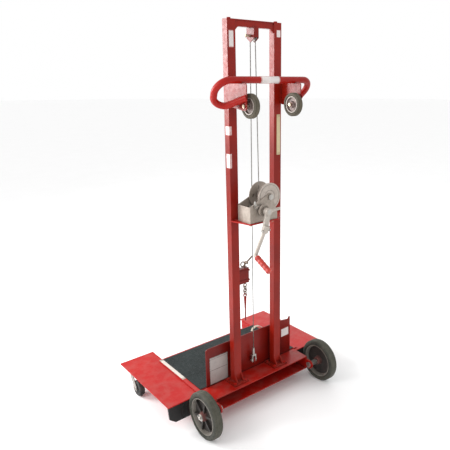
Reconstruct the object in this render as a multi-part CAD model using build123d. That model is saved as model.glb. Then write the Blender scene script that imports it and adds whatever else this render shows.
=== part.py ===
from build123d import *
import math
import os

# Hand-winch platform lift truck, in millimetres.
# +X runs along the wheel axles, +Y towards the load, +Z up, floor at Z = 0.
# The mast stands on the plane X = 0 and the rear faces of its posts are at Y = 0.

# ---------------------------------------------------------------- driving dimensions
MAST_TOP = 1652.0
POST_WIDTH = 38.0
POST_DEPTH = 30.0
POST_WALL = 3.0
POST_SLOT = 14.0
POST_CENTRE_X = 115.0

WHEEL_D = 203.0
WHEEL_WIDTH = 42.0
WHEEL_X = 335.0
WHEEL_Y = -68.0
RIM_R = 79.0
AXLE_R = 8.0

CHANNEL_HALF = 271.0
CHANNEL_REAR = -44.0
CHANNEL_FRONT = 50.0
CHANNEL_LOW = 68.0
CHANNEL_TOP = 133.0
CHANNEL_WALL = 4.0

DECK_INNER = 274.0
DECK_OUTER = 446.0
DECK_NEAR = 42.0
DECK_FAR = 498.0
DECK_TOP = 126.0
DECK_PLATE = 4.0
RAIL = 50.0
RAIL_HEIGHT = 40.0
RAIL_WALL = 4.0
LEG_END_LOW = 44.0

CASTER_X = 411.0
CASTER_Y = 425.0
CASTER_TRAIL = 40.0
CASTER_WHEEL_R = 37.5
CASTER_WHEEL_WIDTH = 26.0
KINGPIN_R = 6.0
RACE_R = 20.0

PLATFORM_HALF = 297.0
PLATFORM_FAR = 394.0
PLATFORM_TOP = 131.0
PLATFORM_PLATE = 4.0
MAT = 3.0
BACK_HALF = 246.0
BACK_TOP = 315.0
BACK_PLATE = 4.0
BACK_FRONT = 57.0

HANDLE_TUBE_R = 13.0
HANDLE_WALL = 2.5
HANDLE_Z = 1436.0
HANDLE_Y = -80.0
HANDLE_PLATE = 4.0
SMALL_WHEEL_R = 46.0
SMALL_WHEEL_WIDTH = 24.0
SMALL_WHEEL_X = 108.0
SMALL_WHEEL_Y = -102.0
SMALL_WHEEL_Z = 1342.0
SMALL_BOLT_R = 4.0

ROPE_R = 2.0
SHEAVE_Y = 17.0
SHEAVE_Z = 1600.0
SHEAVE_ROPE_R = 15.5
SHEAVE_R = 18.5
SHEAVE_WIDTH = 14.0
SHEAVE_PIN_R = 5.0

MODULE = 2.0
GEAR_TEETH = 52
PINION_TEETH = 13
GEAR_Y0 = -80.0
GEAR_WIDTH = 8.0
DRUM_X = -4.0
DRUM_Z = 980.0
DRUM_CORE_R = 14.0
DRUM_FLANGE_R = 54.0
WINCH_FRONT = -13.0
WINCH_REAR = -92.0
WINCH_WALL = 4.0
WINCH_FLOOR = 884.0
WINCH_LEFT = -108.0
WINCH_PLATE = 5.0
DRUM_SHAFT_R = 7.0
CRANK_SHAFT_R = 8.0
CRANK_Y = -132.0
CRANK_TUBE_R = 8.0
GRIP_R = 12.5
GRIP_LENGTH = 90.0
GRIP_DROOP = math.radians(27)
GRIP_SPINDLE_R = 4.5
RATCHET_R = 21.0
RATCHET_TEETH = 12
RATCHET_DEPTH = 4.0
PAWL_PIN_R = 4.0
PAWL_LENGTH = 18.0
PAWL_LIFT = math.radians(29)

LUG_Z = 186.0
CLEVIS_TOP = 246.0
ROLLER_HEIGHTS = {"lower": 166.0, "upper": 284.0}
TROLLEY_LOW = 150.0
TROLLEY_TOP = 300.0

TIE_X = -58.0
TIE_Y = 14.0
TIE_LOW = 592.0
TIE_TOP = 660.0
HOOK_R = 3.6

RUNNING_FIT = 0.05
BOLT_GAP = 0.3
BODY_GAP = 0.3

# ---------------------------------------------------------------- worked-out dimensions
WHEEL_R = WHEEL_D / 2
POST_IN = POST_CENTRE_X - POST_WIDTH / 2
POST_OUT = POST_CENTRE_X + POST_WIDTH / 2
FOOT_PLATE = 6.0
POST_FOOT = CHANNEL_TOP + FOOT_PLATE
RAIL_TOP = DECK_TOP - DECK_PLATE
RAIL_LOW = RAIL_TOP - RAIL_HEIGHT
BACK_REAR = BACK_FRONT - BACK_PLATE
PLATE_OUT = POST_OUT + HANDLE_PLATE
GEAR_PITCH_R = MODULE * GEAR_TEETH / 2
PINION_PITCH_R = MODULE * PINION_TEETH / 2
GEAR_CENTRES = GEAR_PITCH_R + PINION_PITCH_R
CRANK_DIRECTION = math.radians(225)
CRANK_X = DRUM_X + GEAR_CENTRES * math.cos(CRANK_DIRECTION)
CRANK_Z = DRUM_Z + GEAR_CENTRES * math.sin(CRANK_DIRECTION)
WRAP_R = DRUM_CORE_R + 2 * ROPE_R
CASTER_AXLE_Y = CASTER_Y - CASTER_TRAIL
PLATE_LOW = RAIL_TOP - 4.0
BRIDGE_TOP = PLATE_LOW - 9.0
BRIDGE_LOW = BRIDGE_TOP - 4.0
RATCHET_FRONT = WINCH_REAR - 3.0
RATCHET_REAR = RATCHET_FRONT - 6.0
PAWL_X = CRANK_X - 32.0
PAWL_Z = CRANK_Z + 17.0
HUB_FRONT = CRANK_Y + 11.0
HUB_REAR = CRANK_Y - 9.0
CLAMP = Vector(CRANK_X - 16, CRANK_Y, CRANK_Z - 74)
ELBOW = Vector(CRANK_X - 45, CRANK_Y + 26, CRANK_Z - 180)
GRIP_AXIS = Vector(0, -math.cos(GRIP_DROOP), -math.sin(GRIP_DROOP))
ROLLER_R = (POST_DEPTH - 2 * POST_WALL) / 2 - 0.4
ROLLER_Y = POST_DEPTH / 2
ROPE_FRONT_Y = SHEAVE_Y + SHEAVE_ROPE_R
ROPE_REAR_Y = SHEAVE_Y - SHEAVE_ROPE_R

nodes = {}


# ---------------------------------------------------------------- shape helpers
def block(x0, x1, y0, y1, z0, z1):
    """A box between two corners."""
    size = Box(x1 - x0, y1 - y0, z1 - z0, align=(Align.MIN, Align.MIN, Align.MIN))
    return Pos(x0, y0, z0) * size


def rod(start, end, radius):
    """A round bar from one point to another."""
    start = Vector(*start)
    run = Vector(*end) - start
    bar = Cylinder(radius, run.length, align=(Align.CENTER, Align.CENTER, Align.MIN))
    return Plane(origin=start, z_dir=run.normalized()).location * bar


def ring(start, end, outer, inner):
    """A round sleeve from one point to another."""
    return rod(start, end, outer) - rod(start, end, inner)


def plate_yz(outline, x0, x1):
    """An outline of (y, z) points, as thick as the gap from x0 to x1."""
    face = make_face(Polyline([(x0, y, z) for y, z in outline], close=True))
    return extrude(face, amount=x1 - x0, dir=(1, 0, 0))


def plate_xz(outline, y0, y1):
    """An outline of (x, z) points, as thick as the gap from y0 to y1."""
    face = make_face(Polyline([(x, y0, z) for x, z in outline], close=True))
    return extrude(face, amount=y1 - y0, dir=(0, 1, 0))


def plate_xy(outline, z0, z1):
    """An outline of (x, y) points, as thick as the gap from z0 to z1."""
    face = make_face(Polyline([(x, y, z0) for x, y in outline], close=True))
    return extrude(face, amount=z1 - z0, dir=(0, 0, 1))


def turned(profile, centre, axis=(1, 0, 0)):
    """A closed (along, radius) profile turned about an axis through centre."""
    frame = Plane(origin=centre, x_dir=axis, z_dir=(0, -1, 0) if axis[0] else (1, 0, 0))
    face = make_face(Polyline([frame.from_local_coords((a, r, 0)) for a, r in profile], close=True))
    return revolve(face, axis=Axis(centre, axis), revolution_arc=360)


def hexagon(centre, axis, across, height):
    """A hexagonal prism that starts at centre and runs along axis."""
    base = RegularPolygon(across / 2, 6, major_radius=False)
    return Plane(origin=centre, z_dir=axis).location * extrude(base, amount=height)


def bolt(head_face, axis, radius, grip, nut=True):
    """A hex bolt whose head sits on head_face and whose shank runs along axis."""
    head_face = Vector(*head_face)
    axis = Vector(*axis).normalized()
    across = 3.4 * radius
    piece = rod(head_face, head_face + axis * (grip + 2.2 * radius), radius)
    piece += hexagon(head_face, axis * -1, across, 1.3 * radius)
    if nut:
        piece += hexagon(head_face + axis * grip, axis, across, 1.6 * radius)
    return piece


def mirrored(piece):
    """The same piece on the other side of the mast."""
    return mirror(piece, about=Plane.YZ)


def both(name, left):
    """Store a left-hand piece and its mirror image as two nodes."""
    nodes[name + "_left"] = left
    nodes[name + "_right"] = mirrored(left)


def group(pieces):
    """Separate solids that share one node."""
    return Compound(children=[piece.solid() for piece in pieces])


def involute(angle):
    return math.tan(angle) - angle


def spur_gear(teeth, addendum, backlash, phase, centre, y0, width):
    """A spur gear about Y with involute flanks; phase is the angle of one tooth."""
    pitch_r = MODULE * teeth / 2
    base_r = pitch_r * math.cos(math.radians(20))
    tip_r = pitch_r + addendum
    root_r = pitch_r - 1.2 * MODULE
    half_at_pitch = math.pi / (2 * teeth) - backlash / pitch_r
    flank_start = max(base_r, root_r)
    flank = []
    for step in range(5):
        r = flank_start + (tip_r - flank_start) * step / 4
        pressure = math.acos(min(1.0, base_r / r))
        half = half_at_pitch + involute(math.radians(20)) - involute(pressure)
        flank.append((r, half))
    if root_r < base_r:
        flank.insert(0, (root_r, flank[0][1]))
    outline = []
    for tooth in range(teeth):
        middle = phase + 2 * math.pi * tooth / teeth
        turn = [(r, middle - half) for r, half in flank]
        turn += [(r, middle + half) for r, half in reversed(flank)]
        for r, angle in turn:
            outline.append((centre[0] + r * math.cos(angle), centre[1] + r * math.sin(angle)))
    return plate_xz(outline, y0, y0 + width)


# ---------------------------------------------------------------- chassis
def cross_channel():
    """Folded channel, open to the rear, with a lug at each end for a wheel axle."""
    section = [
        (CHANNEL_REAR, CHANNEL_LOW),
        (CHANNEL_FRONT, CHANNEL_LOW),
        (CHANNEL_FRONT, CHANNEL_TOP),
        (CHANNEL_REAR, CHANNEL_TOP),
        (CHANNEL_REAR, CHANNEL_TOP - CHANNEL_WALL),
        (CHANNEL_FRONT - CHANNEL_WALL, CHANNEL_TOP - CHANNEL_WALL),
        (CHANNEL_FRONT - CHANNEL_WALL, CHANNEL_LOW + CHANNEL_WALL),
        (CHANNEL_REAR, CHANNEL_LOW + CHANNEL_WALL),
    ]
    piece = plate_yz(section, -CHANNEL_HALF, CHANNEL_HALF)
    lug_r = 20.0
    lug = block(-CHANNEL_HALF, -CHANNEL_HALF + 8, CHANNEL_REAR, CHANNEL_FRONT, CHANNEL_LOW, CHANNEL_TOP)
    low, high = WHEEL_R - lug_r, WHEEL_R + lug_r
    lug += block(-CHANNEL_HALF, -CHANNEL_HALF + 8, WHEEL_Y, CHANNEL_REAR + 1, low, high)
    lug += rod((-CHANNEL_HALF, WHEEL_Y, WHEEL_R), (-CHANNEL_HALF + 8, WHEEL_Y, WHEEL_R), lug_r)
    lug -= rod((-CHANNEL_HALF - 1, WHEEL_Y, WHEEL_R), (-CHANNEL_HALF + 9, WHEEL_Y, WHEEL_R), AXLE_R)
    piece += lug
    piece += mirrored(lug)
    for side in (-1, 1):
        for x, y in foot_bolt_spots(side):
            piece -= rod((x, y, CHANNEL_TOP - 10), (x, y, CHANNEL_TOP + 1), 4.0 + BOLT_GAP)
    return piece


def foot_bolt_spots(side):
    """Where the four bolts of one post's foot plate go."""
    return [(side * (POST_CENTRE_X + dx), y) for dx in (-28, 28) for y in (-18, 36)]


def wheel_axle():
    """Stub axle: a head inside the lug, a shoulder, then the wheel's journal."""
    inner = -CHANNEL_HALF + 8
    piece = rod((inner + 6, WHEEL_Y, WHEEL_R), (-WHEEL_X - 32, WHEEL_Y, WHEEL_R), AXLE_R)
    piece += rod((inner, WHEEL_Y, WHEEL_R), (inner + 6, WHEEL_Y, WHEEL_R), 13)
    shoulder_end = -WHEEL_X + WHEEL_WIDTH / 2 + 4.5
    piece += rod((-CHANNEL_HALF, WHEEL_Y, WHEEL_R), (shoulder_end, WHEEL_Y, WHEEL_R), 12)
    cotter_x = -WHEEL_X - 28.5
    piece -= rod((cotter_x, WHEEL_Y - 20, WHEEL_R), (cotter_x, WHEEL_Y + 20, WHEEL_R), 1.7)
    return piece


def axle_washer():
    start = -WHEEL_X - 23.5
    return ring((start, WHEEL_Y, WHEEL_R), (start - 2.5, WHEEL_Y, WHEEL_R), 15, AXLE_R + BOLT_GAP)


def cotter_pin():
    x = -WHEEL_X - 28.5
    pin = rod((x, WHEEL_Y - 14, WHEEL_R), (x, WHEEL_Y + 11, WHEEL_R), 1.5)
    eye = Pos(x, WHEEL_Y + 13, WHEEL_R) * (Rot(0, 90, 0) * Torus(3, 1.4))
    return pin + eye


def leg_left():
    """One straddle leg: the deck plate, one box rail under its inner edge and three ribs."""
    outer = -CHANNEL_HALF - RAIL
    far = DECK_FAR - 18
    piece = block(outer, -CHANNEL_HALF, CHANNEL_FRONT, far, RAIL_LOW, RAIL_TOP)
    piece -= block(
        outer + RAIL_WALL,
        -CHANNEL_HALF - RAIL_WALL,
        CHANNEL_FRONT - 1,
        far - RAIL_WALL,
        RAIL_LOW + RAIL_WALL,
        RAIL_TOP - RAIL_WALL,
    )
    for y in (120, 245, 360):
        piece += block(-DECK_OUTER + 50, outer + 1, y, y + 8, RAIL_TOP - 18, RAIL_TOP)
    return piece + block(-DECK_OUTER, -DECK_INNER, DECK_NEAR, DECK_FAR, RAIL_TOP, DECK_TOP)


def leg_end():
    """Cross plate under the near end of one deck; it joins the leg to the channel."""
    outline = [
        (-CHANNEL_HALF, RAIL_TOP),
        (-DECK_OUTER, RAIL_TOP),
        (-DECK_OUTER + 5, RAIL_TOP - 56),
        (-DECK_OUTER + 32, LEG_END_LOW),
        (-CHANNEL_HALF, LEG_END_LOW),
    ]
    piece = plate_xz(outline, DECK_NEAR, CHANNEL_FRONT)
    for x in (-DECK_OUTER + 62, -DECK_OUTER + 96):
        piece += block(x, x + 10, DECK_NEAR - 5, DECK_NEAR, RAIL_LOW - 18, RAIL_TOP - 6)
    return piece


def front_tie():
    """Flat bar that ties the two legs together under the platform."""
    y = DECK_FAR - 78
    return block(-CHANNEL_HALF, CHANNEL_HALF, y, y + 40, RAIL_LOW, RAIL_LOW + 8)


# ---------------------------------------------------------------- road wheels
def wheel_rim():
    """Pressed steel centre: rim ring, dished web with six ribs, and the hub."""
    c = (-WHEEL_X, WHEEL_Y, WHEEL_R)
    half = 18.0
    profile = [
        (-half, RIM_R - 4),
        (-half, RIM_R),
        (half, RIM_R),
        (half, RIM_R - 4),
        (3, RIM_R - 9),
        (3, 22),
        (23, 17),
        (23, AXLE_R + RUNNING_FIT),
        (-23, AXLE_R + RUNNING_FIT),
        (-23, 17),
        (-3, 22),
        (-3, RIM_R - 9),
    ]
    piece = turned(profile, c)
    rib = block(-WHEEL_X - 14, -WHEEL_X, WHEEL_Y - 4, WHEEL_Y + 4, WHEEL_R + 18, WHEEL_R + RIM_R - 5)
    for spoke in range(6):
        piece += rib.rotate(Axis(c, (1, 0, 0)), 60 * spoke + 12)
    return piece


def tyre(centre, radius, width, bore, shoulder):
    """Cushion tyre with rounded shoulders and three shallow tread grooves."""
    half = width / 2
    tread = radius - 1.2
    profile = [
        (-half + shoulder, bore),
        (-half, bore + shoulder),
        (-half, radius - shoulder * 1.6),
        (-half + shoulder * 0.5, radius - shoulder * 0.5),
        (-half + shoulder * 1.4, radius),
    ]
    for groove in (-0.25, 0, 0.25):
        middle = groove * width
        profile += [(middle - 1.2, radius), (middle - 0.6, tread)]
        profile += [(middle + 0.6, tread), (middle + 1.2, radius)]
    profile += [
        (half - shoulder * 1.4, radius),
        (half - shoulder * 0.5, radius - shoulder * 0.5),
        (half, radius - shoulder * 1.6),
        (half, bore + shoulder),
        (half - shoulder, bore),
    ]
    return turned(profile, centre)


# ---------------------------------------------------------------- casters


def caster_plate():
    """Mounting plate with its raceway boss, screwed under the deck."""
    c = (-CASTER_X, CASTER_Y)
    piece = block(-CASTER_X - 32, -CASTER_X + 32, CASTER_Y - 30, CASTER_Y + 30, PLATE_LOW, RAIL_TOP)
    piece += rod((*c, BRIDGE_TOP + BODY_GAP), (*c, PLATE_LOW), RACE_R)
    return piece - rod((*c, BRIDGE_TOP - 1), (*c, RAIL_TOP + 1), KINGPIN_R)


def kingpin():
    """Kingpin: riveted into the plate, with a head below the fork's bridge."""
    c = (-CASTER_X, CASTER_Y)
    piece = rod((*c, BRIDGE_LOW - BODY_GAP), (*c, RAIL_TOP), KINGPIN_R)
    piece += rod((*c, BRIDGE_LOW - BODY_GAP - 5), (*c, BRIDGE_LOW - BODY_GAP), 9)
    return piece


def caster_fork():
    """Swivelling fork with its riveted axle; the legs trail behind the kingpin."""
    c = (-CASTER_X, CASTER_Y)
    piece = rod((*c, BRIDGE_LOW), (*c, BRIDGE_TOP), RACE_R + 1)
    leg_in = CASTER_WHEEL_WIDTH / 2 + 1.5
    leg_out = leg_in + 3
    leg = plate_yz(
        [
            (CASTER_Y + 13, BRIDGE_TOP),
            (CASTER_Y - 13, BRIDGE_TOP),
            (CASTER_AXLE_Y - 11, CASTER_WHEEL_R + 2),
            (CASTER_AXLE_Y - 8, CASTER_WHEEL_R - 8),
            (CASTER_AXLE_Y + 3, CASTER_WHEEL_R - 11),
            (CASTER_AXLE_Y + 11, CASTER_WHEEL_R - 4),
            (CASTER_Y + 6, BRIDGE_LOW - 26),
        ],
        -CASTER_X - leg_out,
        -CASTER_X - leg_in,
    )
    piece += leg
    piece += mirror(leg, about=Plane((-CASTER_X, 0, 0), z_dir=(1, 0, 0)))
    piece -= rod((*c, BRIDGE_LOW - 1), (*c, BRIDGE_TOP + 1), KINGPIN_R + RUNNING_FIT)
    a = (CASTER_AXLE_Y, CASTER_WHEEL_R)
    piece += rod((-CASTER_X - leg_out - 3, *a), (-CASTER_X + leg_out + 3, *a), 4)
    piece += rod((-CASTER_X - leg_out - 3, *a), (-CASTER_X - leg_out, *a), 6.5)
    piece += rod((-CASTER_X + leg_out, *a), (-CASTER_X + leg_out + 3, *a), 6.5)
    return piece


def caster_wheel():
    c = (-CASTER_X, CASTER_AXLE_Y, CASTER_WHEEL_R)
    half = CASTER_WHEEL_WIDTH / 2
    profile = [
        (-half, 4 + RUNNING_FIT),
        (-half, 9),
        (-half + 3, 11),
        (-half + 3, 26),
        (-half, 29),
        (-half, CASTER_WHEEL_R - 4),
        (-half + 4, CASTER_WHEEL_R),
        (half - 4, CASTER_WHEEL_R),
        (half, CASTER_WHEEL_R - 4),
        (half, 29),
        (half - 3, 26),
        (half - 3, 11),
        (half, 9),
        (half, 4 + RUNNING_FIT),
    ]
    return turned(profile, c)


# ---------------------------------------------------------------- mast
def mast_post():
    """Lipped channel, open towards the load, welded to a bolted foot plate."""
    piece = block(-POST_OUT, -POST_IN, 0, POST_DEPTH, POST_FOOT, MAST_TOP)
    inside = block(
        -POST_OUT + POST_WALL,
        -POST_IN - POST_WALL,
        POST_WALL,
        POST_DEPTH - POST_WALL,
        POST_FOOT - 1,
        MAST_TOP + 1,
    )
    slot_half = POST_SLOT / 2
    slot = block(
        -POST_CENTRE_X - slot_half,
        -POST_CENTRE_X + slot_half,
        POST_DEPTH - POST_WALL - 1,
        POST_DEPTH + 1,
        POST_FOOT - 1,
        MAST_TOP + 1,
    )
    piece -= inside
    piece -= slot
    foot = block(-POST_CENTRE_X - 38, -POST_CENTRE_X + 38, -28, CHANNEL_FRONT, CHANNEL_TOP, POST_FOOT)
    for x, y in foot_bolt_spots(-1):
        foot -= rod((x, y, CHANNEL_TOP - 1), (x, y, POST_FOOT + 1), 4.0 + BOLT_GAP)
    piece += foot
    for x in (-POST_OUT, -POST_IN - 4):
        piece += plate_yz([(-24, POST_FOOT), (0, POST_FOOT), (0, POST_FOOT + 34)], x, x + 4)
    return piece


def frame_bolts():
    """The eight foot bolts and the two cap bolts."""
    pieces = []
    for side in (-1, 1):
        for x, y in foot_bolt_spots(side):
            pieces.append(bolt((x, y, POST_FOOT), (0, 0, -1), 4.0, FOOT_PLATE + CHANNEL_WALL))
        top = (side * POST_CENTRE_X, POST_DEPTH / 2, MAST_TOP + 3)
        pieces.append(bolt(top, (0, 0, -1), 4.0, 5))
    return group(pieces)


def top_beam():
    """Cross beam between the posts, its cap plate and the two corner gussets."""
    piece = block(-POST_IN, POST_IN, 4, 26, MAST_TOP - 22, MAST_TOP)
    cap = block(-POST_OUT, POST_OUT, 0, POST_DEPTH, MAST_TOP, MAST_TOP + 3)
    for side in (-1, 1):
        x = side * POST_CENTRE_X
        y = POST_DEPTH / 2
        cap -= rod((x, y, MAST_TOP - 1), (x, y, MAST_TOP + 4), 4.0 + BOLT_GAP)
        inner = side * POST_IN
        low = MAST_TOP - 22
        piece += plate_xz([(inner, low), (inner - side * 16, low), (inner, low - 16)], 4, 8)
    return piece + cap


def sheave_bracket():
    """Two cheeks and a rear cover, hanging from the cross beam."""
    low = SHEAVE_Z - 24
    top = MAST_TOP - 22
    outline = [(-6, top), (40, top), (40, low + 16), (SHEAVE_Y, low), (-6, low + 16)]
    piece = plate_yz(outline, -12, -9) + plate_yz(outline, 9, 12)
    piece += block(-12, 12, -6, 40, top - 3, top)
    piece += block(-12, 12, -6, -3, low + 18, top)
    piece -= rod((-20, SHEAVE_Y, SHEAVE_Z), (20, SHEAVE_Y, SHEAVE_Z), SHEAVE_PIN_R)
    return piece


def sheave_pin():
    """Pin that carries the sheave, long on the left, with a clip on the right."""
    piece = rod((-38, SHEAVE_Y, SHEAVE_Z), (19, SHEAVE_Y, SHEAVE_Z), SHEAVE_PIN_R)
    piece += rod((-42, SHEAVE_Y, SHEAVE_Z), (-38, SHEAVE_Y, SHEAVE_Z), 8)
    piece += rod((12, SHEAVE_Y, SHEAVE_Z), (14.5, SHEAVE_Y, SHEAVE_Z), 8.5)
    return piece


def sheave():
    half = SHEAVE_WIDTH / 2
    groove = SHEAVE_ROPE_R - ROPE_R - BODY_GAP
    profile = [
        (-half, SHEAVE_PIN_R + RUNNING_FIT),
        (-half, SHEAVE_R),
        (-half + 1.5, SHEAVE_R),
        (-2.6, groove),
        (2.6, groove),
        (half - 1.5, SHEAVE_R),
        (half, SHEAVE_R),
        (half, SHEAVE_PIN_R + RUNNING_FIT),
    ]
    return turned(profile, (0, SHEAVE_Y, SHEAVE_Z))


# ---------------------------------------------------------------- handle and its wheels
def handle_path():
    """One bent tube: a straight bar whose ends sweep forward, down and back."""
    half = [(-PLATE_OUT + 6, -113, 1373), (-198, 22, 1320), (-246, HANDLE_Y, HANDLE_Z)]
    route = half + [(-x, y, z) for x, y, z in reversed(half)]
    return FilletPolyline(*route, radius=[35, 49, 49, 35])


def handle_tube():
    path = handle_path()
    section = Circle(HANDLE_TUBE_R) - Circle(HANDLE_TUBE_R - HANDLE_WALL)
    piece = sweep(Plane(origin=path @ 0, z_dir=path % 0) * section, path=path)
    piece -= block(-PLATE_OUT, PLATE_OUT, -160, -60, 1300, HANDLE_Z - 30)
    return piece


def handle_plate():
    """Plate on the outside of a post that carries the handle and one wheel."""
    outline = [
        (0, 1424),
        (-112, 1424),
        (-116, 1418),
        (-116, 1334),
        (-108, 1326),
        (-94, 1326),
        (0, 1340),
    ]
    piece = plate_yz(outline, -PLATE_OUT, -POST_OUT)
    piece -= rod((-300, HANDLE_Y, HANDLE_Z), (300, HANDLE_Y, HANDLE_Z), HANDLE_TUBE_R)
    bore_line = (SMALL_WHEEL_Y, SMALL_WHEEL_Z)
    piece -= rod((-PLATE_OUT - 1, *bore_line), (-POST_OUT + 1, *bore_line), SMALL_BOLT_R)
    weld_edge = block(-POST_OUT, -POST_OUT + 6, -3, 0, 1340, 1424)
    return piece + weld_edge


def small_wheel_bolt():
    """Bolt, spacer and nut that hold a handle wheel to its plate."""
    c = (SMALL_WHEEL_Y, SMALL_WHEEL_Z)
    wheel_in = -SMALL_WHEEL_X + SMALL_WHEEL_WIDTH / 2
    wheel_out = -SMALL_WHEEL_X - SMALL_WHEEL_WIDTH / 2
    piece = rod((-PLATE_OUT, *c), (wheel_in + 10, *c), SMALL_BOLT_R)
    piece += hexagon((-PLATE_OUT, *c), (-1, 0, 0), 13, 5)
    piece += rod((-POST_OUT, *c), (wheel_out - 2, *c), 8)
    piece += hexagon((wheel_in + 2, *c), (1, 0, 0), 13, 7)
    return piece


def small_rim():
    half = SMALL_WHEEL_WIDTH / 2
    profile = [
        (-half + 2, 28),
        (-half + 2, 32),
        (half - 2, 32),
        (half - 2, 28),
        (4, 26),
        (4, 14),
        (half, 11),
        (half, SMALL_BOLT_R + RUNNING_FIT),
        (-half, SMALL_BOLT_R + RUNNING_FIT),
        (-half, 11),
        (-4, 14),
        (-4, 26),
    ]
    return turned(profile, (-SMALL_WHEEL_X, SMALL_WHEEL_Y, SMALL_WHEEL_Z))


# ---------------------------------------------------------------- winch
def bolt_spots():
    """The four bolts that hold the winch down."""
    return [(x, y) for x in (WINCH_LEFT + 14, 20) for y in (WINCH_REAR + 16, WINCH_FRONT - 16)]


def winch_plate():
    """Tapered shelf welded between the rear faces of the posts."""
    outline = [(-POST_OUT, 0), (-110, -97), (38, -97), (POST_OUT, 0)]
    piece = plate_xy(outline, WINCH_FLOOR - WINCH_PLATE, WINCH_FLOOR)
    for x, y in bolt_spots():
        piece -= rod((x, y, WINCH_FLOOR - 20), (x, y, WINCH_FLOOR + 1), 4.0 + BOLT_GAP)
    return piece


def winch_bolts():
    grip = WINCH_PLATE + WINCH_WALL
    return group([bolt((x, y, WINCH_FLOOR + WINCH_WALL), (0, 0, -1), 4.0, grip) for x, y in bolt_spots()])


def side_outline():
    """Side plate: square at the left foot, rising to a nose round the drum shaft."""
    nose = 15.0
    outline = [(WINCH_LEFT, WINCH_FLOOR), (34, WINCH_FLOOR), (34, WINCH_FLOOR + 26)]
    for degrees in range(-20, 121, 20):
        angle = math.radians(degrees)
        outline.append((DRUM_X + nose * math.cos(angle), DRUM_Z + nose * math.sin(angle)))
    outline.append((WINCH_LEFT, 952))
    return outline


def winch_frame():
    """One folded sheet: floor, two side plates and the left end wall, with a pawl stud."""
    piece = plate_xz(side_outline(), WINCH_REAR, WINCH_REAR + WINCH_WALL)
    piece += plate_xz(side_outline(), WINCH_FRONT - WINCH_WALL, WINCH_FRONT)
    piece += block(WINCH_LEFT, 34, WINCH_REAR, WINCH_FRONT, WINCH_FLOOR, WINCH_FLOOR + WINCH_WALL)
    piece += block(WINCH_LEFT, WINCH_LEFT + 4, WINCH_REAR, WINCH_FRONT, WINCH_FLOOR, 950)
    for x, z, r in ((DRUM_X, DRUM_Z, DRUM_SHAFT_R), (CRANK_X, CRANK_Z, CRANK_SHAFT_R + RUNNING_FIT)):
        piece -= rod((x, WINCH_REAR - 5, z), (x, WINCH_FRONT + 5, z), r)
    for x, y in bolt_spots():
        piece -= rod((x, y, WINCH_FLOOR - 1), (x, y, WINCH_FLOOR + 10), 4.0 + BOLT_GAP)
    piece += rod((PAWL_X, WINCH_REAR, PAWL_Z), (PAWL_X, RATCHET_REAR - 3, PAWL_Z), PAWL_PIN_R)
    return piece


def gear_guard():
    """Pressed disc between the rear side plate and the drum gear."""
    y1 = WINCH_REAR + WINCH_WALL
    piece = rod((DRUM_X, y1, DRUM_Z), (DRUM_X, y1 + 3, DRUM_Z), GEAR_PITCH_R + 5)
    piece -= rod((DRUM_X, y1 - 1, DRUM_Z), (DRUM_X, y1 + 4, DRUM_Z), DRUM_SHAFT_R)
    piece -= rod((CRANK_X, y1 - 1, CRANK_Z), (CRANK_X, y1 + 4, CRANK_Z), CRANK_SHAFT_R + 2)
    return piece


def drum_shaft():
    """Fixed shaft through both side plates, with a hex head and a nut."""
    start = (DRUM_X, WINCH_REAR, DRUM_Z)
    piece = rod(start, (DRUM_X, WINCH_FRONT + 9, DRUM_Z), DRUM_SHAFT_R)
    piece += hexagon(start, (0, -1, 0), 22, 7)
    piece += hexagon((DRUM_X, WINCH_FRONT, DRUM_Z), (0, 1, 0), 20, 7)
    return piece


def drum():
    """Spool core with its front flange, which has two lightening holes."""
    rear = GEAR_Y0 + GEAR_WIDTH
    front = WINCH_FRONT - WINCH_WALL - 4
    profile = [
        (rear, DRUM_SHAFT_R + RUNNING_FIT),
        (rear, DRUM_CORE_R),
        (front - 3, DRUM_CORE_R),
        (front - 3, DRUM_FLANGE_R),
        (front, DRUM_FLANGE_R),
        (front, DRUM_SHAFT_R + RUNNING_FIT),
    ]
    piece = turned(profile, (DRUM_X, 0, DRUM_Z), axis=(0, 1, 0))
    for side in (-1, 1):
        x = DRUM_X + side * 32
        piece -= rod((x, front - 5, DRUM_Z), (x, front + 2, DRUM_Z), 7)
    return piece


def drum_gear():
    tooth = spur_gear(
        GEAR_TEETH, 0.8 * MODULE, 0.1, CRANK_DIRECTION, (DRUM_X, DRUM_Z), GEAR_Y0, GEAR_WIDTH
    )
    start = (DRUM_X, GEAR_Y0 - 1, DRUM_Z)
    end = (DRUM_X, GEAR_Y0 + GEAR_WIDTH + 1, DRUM_Z)
    return tooth - rod(start, end, DRUM_SHAFT_R + RUNNING_FIT)


def rope_wraps():
    """Wound layer of rope on the drum's core, one round per turn."""
    rear = GEAR_Y0 + GEAR_WIDTH + 0.5
    front = WINCH_FRONT - WINCH_WALL - 7.5
    turns = int((front - rear) / (2 * ROPE_R))
    pitch = (front - rear) / turns
    profile = [(rear, DRUM_CORE_R)]
    for turn in range(turns):
        left = rear + turn * pitch
        profile += [(left, WRAP_R - 1.2), (left + pitch * 0.3, WRAP_R), (left + pitch * 0.7, WRAP_R)]
    profile += [(front, WRAP_R - 1.2), (front, DRUM_CORE_R)]
    return turned(profile, (DRUM_X, 0, DRUM_Z), axis=(0, 1, 0))


def crank_shaft():
    """Crank shaft with the pinion cut on it."""
    tooth_space = CRANK_DIRECTION + math.pi + math.pi / PINION_TEETH
    piece = rod((CRANK_X, CRANK_Y - 9, CRANK_Z), (CRANK_X, WINCH_FRONT + 6, CRANK_Z), CRANK_SHAFT_R)
    piece += spur_gear(
        PINION_TEETH, 0.9 * MODULE, 0.1, tooth_space, (CRANK_X, CRANK_Z), GEAR_Y0, GEAR_WIDTH
    )
    return piece


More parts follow.
